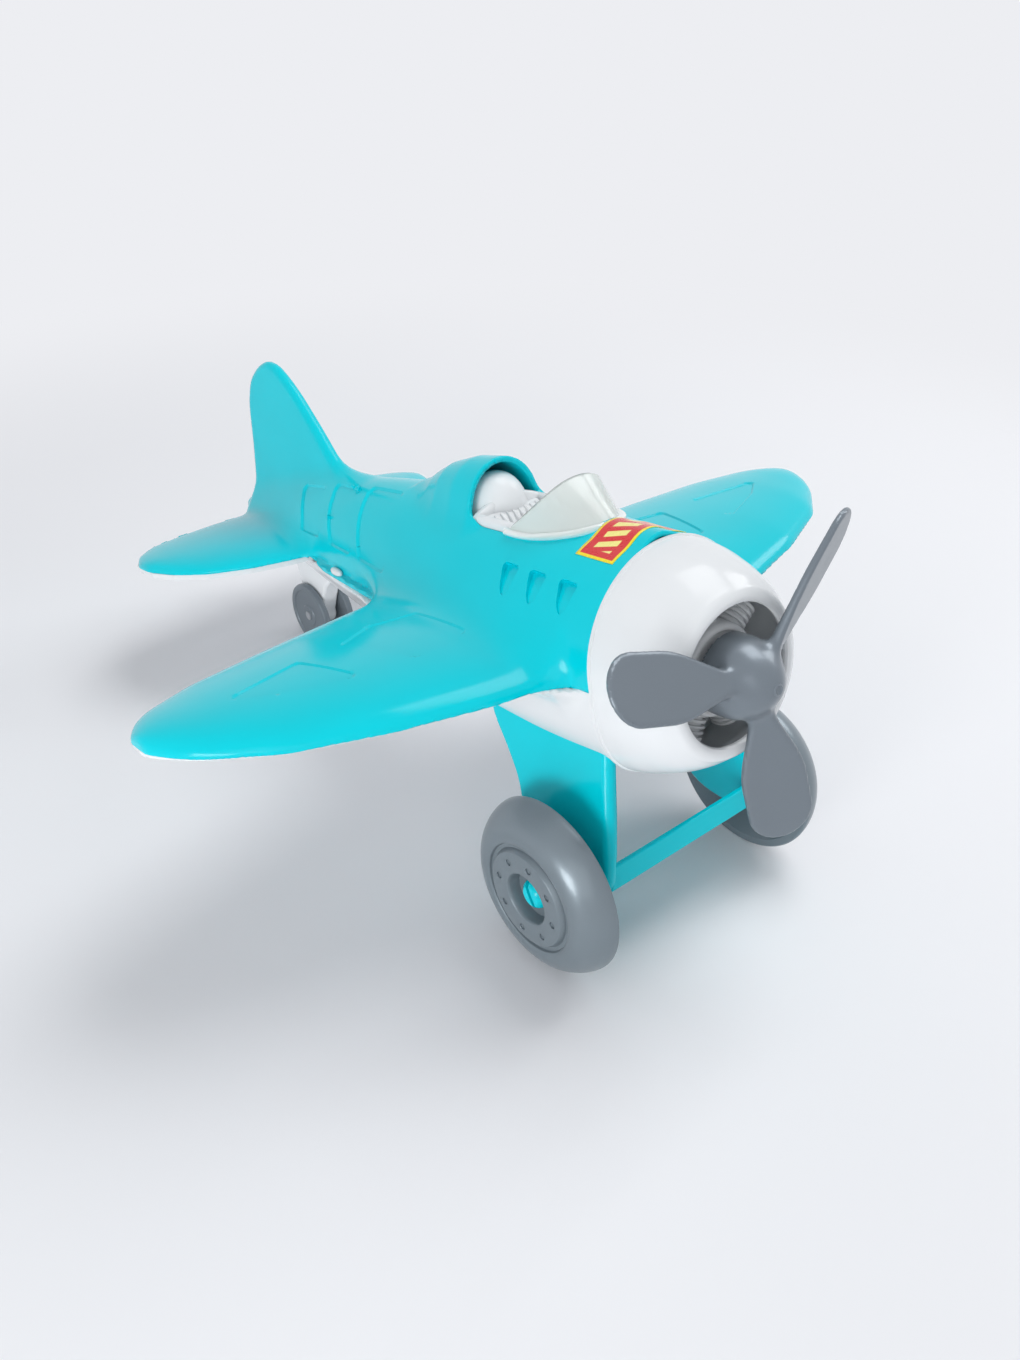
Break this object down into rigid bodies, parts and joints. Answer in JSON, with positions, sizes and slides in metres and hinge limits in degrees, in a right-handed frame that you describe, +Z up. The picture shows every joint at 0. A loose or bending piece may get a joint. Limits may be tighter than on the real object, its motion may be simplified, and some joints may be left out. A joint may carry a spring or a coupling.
{
  "type": "toy airplane",
  "caption": "Push-along moulded toy airplane with a spinning propeller, rolling front wheels and a twin tail wheel.",
  "frame": {"origin": "middle of the bounding box's bottom face, on the floor", "axes": "-Y towards the nose, X along the wings, +Z up, standing on its own wheels"},
  "size_m": [0.28, 0.3095, 0.1456],
  "materials": {
    "teal_plastic": "gloss",
    "white_plastic": "gloss",
    "grey_plastic": "satin",
    "steel": "satin",
    "label": "gloss"
  },
  "bodies": {
    "airframe": {"upper_shell": "teal_plastic", "lower_shell": "white_plastic", "stab_skin_left": "white_plastic", "stab_skin_right": "white_plastic", "cowl_ring": "white_plastic", "engine_block": "white_plastic", "crankcase": "white_plastic", "cockpit_tub": "white_plastic", "seat": "white_plastic", "instrument_panel": "white_plastic", "windscreen": "white_plastic", "sticker": "label", "gear_leg_left": "teal_plastic", "gear_leg_right": "teal_plastic", "gear_cross_bar": "teal_plastic", "tail_bracket": "white_plastic", "snap_clip_left": "white_plastic", "snap_clip_right": "white_plastic", "belly_screws": "steel"},
    "propeller_body": {"propeller": "grey_plastic", "prop_shaft": "steel", "prop_clip": "grey_plastic"},
    "front_wheel_left": {"wheel_left": "grey_plastic"},
    "front_wheel_right": {"wheel_right": "grey_plastic"},
    "tail_wheel_set": {"tail_axle": "steel", "tail_wheel_left": "grey_plastic", "tail_wheel_right": "grey_plastic"}
  },
  "joints": [
    {"name": "propeller_spin", "type": "hinge", "parent": "airframe", "child": "propeller_body", "pos_m": [0, -0.12847, 0.10278], "axis": [0, -0.9769, 0.2138], "continuous": true},
    {"name": "wheel_left_spin", "type": "hinge", "parent": "airframe", "child": "front_wheel_left", "pos_m": [-0.05, -0.10652, 0.03], "axis": [1, 0, 0], "continuous": true},
    {"name": "wheel_right_spin", "type": "hinge", "parent": "airframe", "child": "front_wheel_right", "pos_m": [0.05, -0.10652, 0.03], "axis": [1, 0, 0], "continuous": true},
    {"name": "tail_wheel_spin", "type": "hinge", "parent": "airframe", "child": "tail_wheel_set", "pos_m": [0, 0.09994, 0.0145], "axis": [1, 0, 0], "continuous": true}
  ]
}
